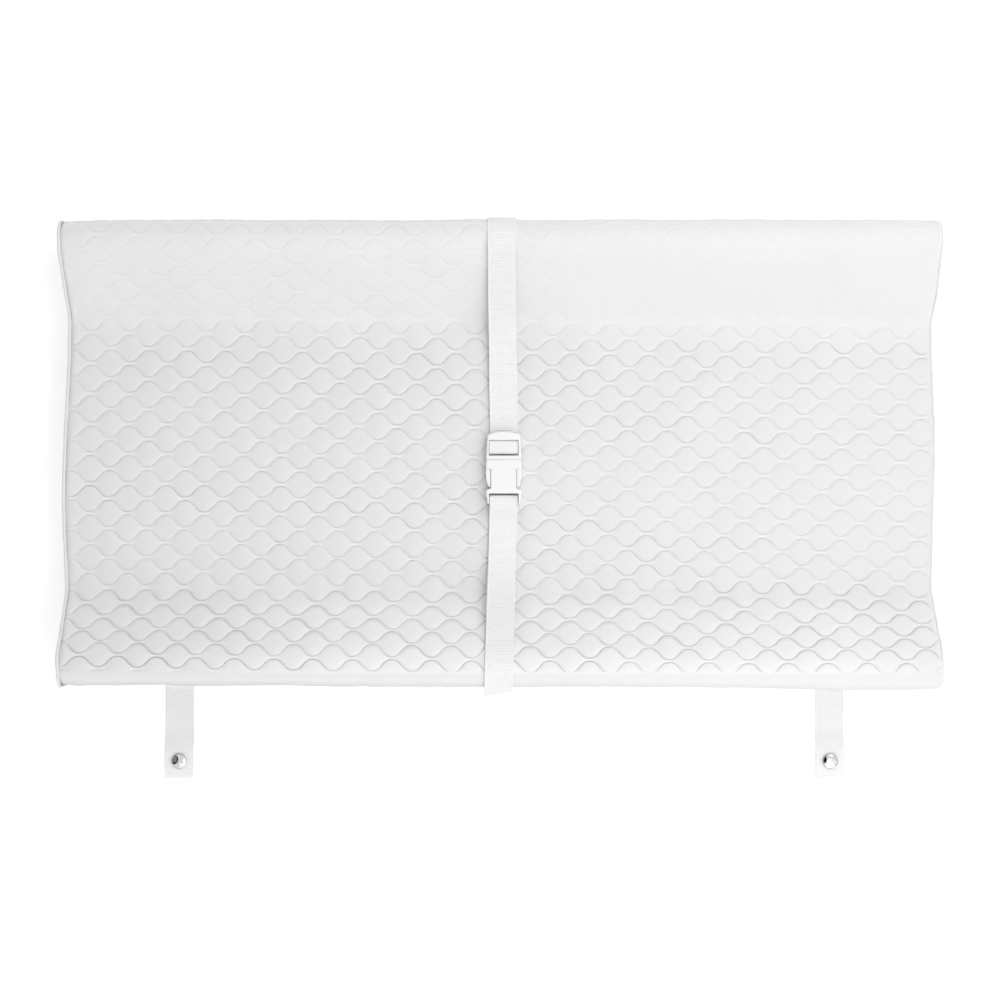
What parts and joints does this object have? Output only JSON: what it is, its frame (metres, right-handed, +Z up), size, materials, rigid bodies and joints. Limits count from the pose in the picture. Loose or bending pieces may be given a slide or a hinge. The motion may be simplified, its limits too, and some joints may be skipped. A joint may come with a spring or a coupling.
{
  "type": "contoured changing pad",
  "caption": "Contoured baby changing pad: foam trough in a quilted vinyl cover, with a webbing belt and side-release buckle, and snap tabs that hold it to a dresser.",
  "frame": {"origin": "centre of the pad's underside, on the surface that it lies on", "axes": "+Z up, +X along the pad's length, +Y to the wall opposite the anchor tabs; the tabs leave the front edge along -Y"},
  "size_m": [0.787, 0.51, 0.1037],
  "materials": {
    "foam": null,
    "quilted_vinyl": "white quilted vinyl, soft satin",
    "plain_vinyl": "white smooth vinyl, satin",
    "piping_vinyl": "white vinyl over cord, satin",
    "base_cloth": "matt white laminated cloth",
    "webbing": "white polyester webbing, cross-ribbed",
    "buckle_plastic": "white moulded acetal, gloss",
    "snap_chrome": "polished"
  },
  "bodies": {
    "pad": {"foam_core": "foam", "quilted_top_panel": "quilted_vinyl", "front_boxing": "plain_vinyl", "back_boxing": "plain_vinyl", "left_end_panel": "plain_vinyl", "right_end_panel": "plain_vinyl", "left_piping": "piping_vinyl", "right_piping": "piping_vinyl", "base_panel": "base_cloth", "front_belt_anchor": "webbing", "back_belt_anchor": "webbing", "left_tab_sewn_end": "webbing", "right_tab_sewn_end": "webbing"},
    "front_belt": {"front_belt_run": "webbing", "buckle_socket": "buckle_plastic"},
    "back_belt": {"back_belt_run": "webbing", "belt_tail": "webbing"},
    "plug": {"buckle_plug": "buckle_plastic", "adjuster_webbing": "webbing"},
    "left_arm": {"plug_left_arm": "buckle_plastic"},
    "right_arm": {"plug_right_arm": "buckle_plastic"},
    "left_tab": {"left_anchor_tab": "webbing", "left_snap_cap": "snap_chrome", "left_snap_socket": "snap_chrome"},
    "right_tab": {"right_anchor_tab": "webbing", "right_snap_cap": "snap_chrome", "right_snap_socket": "snap_chrome"}
  },
  "joints": [
    {"name": "front_belt_swing", "type": "hinge", "parent": "pad", "child": "front_belt", "pos_m": [-0.0014, -0.19, 0.104], "axis": [1, 0, 0], "range_deg": [0, 180]},
    {"name": "back_belt_swing", "type": "hinge", "parent": "pad", "child": "back_belt", "pos_m": [0.001, 0.19, 0.104], "axis": [-1, 0, 0], "range_deg": [0, 180]},
    {"name": "buckle_release", "type": "slide", "parent": "back_belt", "child": "plug", "axis": [0, 1, 0], "range_m": [0, 0.04], "deforming": ["plug_left_arm", "plug_right_arm"]},
    {"name": "left_arm_press", "type": "hinge", "parent": "plug", "child": "left_arm", "pos_m": [-0.008, -0.0054, 0.0608], "axis": [0, 0, 1], "range_deg": [0, 10], "stiffness_Nm_per_rad": 0.02},
    {"name": "right_arm_press", "type": "hinge", "parent": "plug", "child": "right_arm", "pos_m": [0.014, -0.0054, 0.0608], "axis": [0, 0, 1], "range_deg": [-10, 0]},
    {"name": "left_tab_fold", "type": "hinge", "parent": "pad", "child": "left_tab", "pos_m": [-0.299, -0.2086, 0.003], "axis": [-1, 0, 0], "range_deg": [-90, 75]},
    {"name": "right_tab_fold", "type": "hinge", "parent": "pad", "child": "right_tab", "pos_m": [0.307, -0.2086, 0.003], "axis": [-1, 0, 0], "range_deg": [-90, 75]}
  ],
  "couplings": [
    {"joint": "right_arm_press", "follows": "left_arm_press", "ratio": -1}
  ]
}
